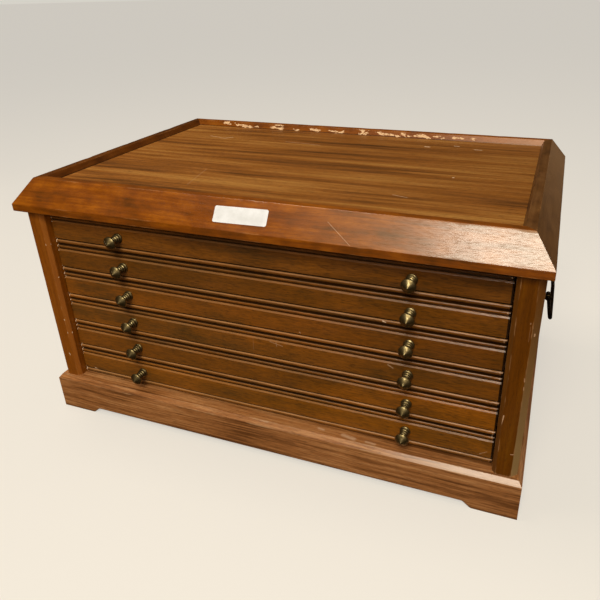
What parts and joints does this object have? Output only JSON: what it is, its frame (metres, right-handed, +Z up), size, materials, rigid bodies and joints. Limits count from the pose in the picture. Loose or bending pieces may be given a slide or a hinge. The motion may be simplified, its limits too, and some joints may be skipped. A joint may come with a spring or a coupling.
{
  "type": "medal cabinet",
  "caption": "Low table-top medal cabinet: shallow moulded drawers with brass knobs between corner posts, bracket plinth, bevelled cornice round a sunk top, drop handles on the sides.",
  "frame": {"origin": "middle of the bounding box, on the floor plane under the feet", "axes": "+X to the right seen from the front, +Y to the back so that the drawers open towards -Y, +Z up"},
  "size_m": [0.5008, 0.3238, 0.2594],
  "materials": {
    "cornice_mahogany": "polished golden brown mahogany, worn shellac",
    "panel_veneer": "striped mahogany veneer, satin",
    "case_mahogany": "polished mahogany, satin",
    "drawer_mahogany": "darker polished mahogany, satin",
    "plinth_mahogany": "reddish mahogany, satin",
    "inner_timber": "plain unpolished cabinet timber",
    "runner_timber": "waxed hardwood strip",
    "drawer_timber": "thin mahogany boards, matt",
    "baize": "dark green wool baize",
    "aged_brass": "turned brass with brown patina",
    "dark_bronze": "dark bronzed brass",
    "screw_metal": "dull brass screws and pins",
    "label_paper": "plain white paper, slightly glossy"
  },
  "bodies": {
    "case": {"plinth_front": "plinth_mahogany", "plinth_back": "plinth_mahogany", "plinth_left": "plinth_mahogany", "plinth_right": "plinth_mahogany", "plinth_glue_blocks": "inner_timber", "bottom_board": "inner_timber", "side_left": "case_mahogany", "liner_left": "inner_timber", "post_left": "case_mahogany", "runners_left": "runner_timber", "side_right": "case_mahogany", "liner_right": "inner_timber", "post_right": "case_mahogany", "runners_right": "runner_timber", "runner_pins": "screw_metal", "back_board": "case_mahogany", "back_screws": "screw_metal", "sub_top": "inner_timber", "top_panel": "panel_veneer", "top_screws": "screw_metal", "cornice_front": "cornice_mahogany", "cornice_back": "cornice_mahogany", "cornice_left": "cornice_mahogany", "cornice_right": "cornice_mahogany", "label": "label_paper", "handle_eye_bolts": "dark_bronze", "handle_roses": "dark_bronze"},
    "bail_left": {"bail_left": "dark_bronze"},
    "bail_right": {"bail_right": "dark_bronze"},
    "drawer_1": {"drawer_1_front": "drawer_mahogany", "drawer_1_walls": "drawer_timber", "drawer_1_bottom": "drawer_timber", "drawer_1_lining": "baize", "drawer_1_knobs": "aged_brass"},
    "drawer_2": {"drawer_2_front": "drawer_mahogany", "drawer_2_walls": "drawer_timber", "drawer_2_bottom": "drawer_timber", "drawer_2_lining": "baize", "drawer_2_knobs": "aged_brass"},
    "drawer_3": {"drawer_3_front": "drawer_mahogany", "drawer_3_walls": "drawer_timber", "drawer_3_bottom": "drawer_timber", "drawer_3_lining": "baize", "drawer_3_knobs": "aged_brass"},
    "drawer_4": {"drawer_4_front": "drawer_mahogany", "drawer_4_walls": "drawer_timber", "drawer_4_bottom": "drawer_timber", "drawer_4_lining": "baize", "drawer_4_knobs": "aged_brass"},
    "drawer_5": {"drawer_5_front": "drawer_mahogany", "drawer_5_walls": "drawer_timber", "drawer_5_bottom": "drawer_timber", "drawer_5_lining": "baize", "drawer_5_knobs": "aged_brass"},
    "drawer_6": {"drawer_6_front": "drawer_mahogany", "drawer_6_walls": "drawer_timber", "drawer_6_bottom": "drawer_timber", "drawer_6_lining": "baize", "drawer_6_knobs": "aged_brass"}
  },
  "joints": [
    {"name": "drawer_1_slide", "type": "slide", "parent": "case", "child": "drawer_1", "axis": [0, -1, 0], "range_m": [0, 0.24]},
    {"name": "drawer_2_slide", "type": "slide", "parent": "case", "child": "drawer_2", "axis": [0, -1, 0], "range_m": [0, 0.24]},
    {"name": "drawer_3_slide", "type": "slide", "parent": "case", "child": "drawer_3", "axis": [0, -1, 0], "range_m": [0, 0.24]},
    {"name": "drawer_4_slide", "type": "slide", "parent": "case", "child": "drawer_4", "axis": [0, -1, 0], "range_m": [0, 0.24]},
    {"name": "drawer_5_slide", "type": "slide", "parent": "case", "child": "drawer_5", "axis": [0, -1, 0], "range_m": [0, 0.24]},
    {"name": "drawer_6_slide", "type": "slide", "parent": "case", "child": "drawer_6", "axis": [0, -1, 0], "range_m": [0, 0.24]},
    {"name": "bail_left_swing", "type": "hinge", "parent": "case", "child": "bail_left", "pos_m": [-0.2435, 0.0012, 0.16], "axis": [0, 1, 0], "range_deg": [0, 150]},
    {"name": "bail_right_swing", "type": "hinge", "parent": "case", "child": "bail_right", "pos_m": [0.2435, 0.0012, 0.16], "axis": [0, -1, 0], "range_deg": [0, 150]}
  ]
}
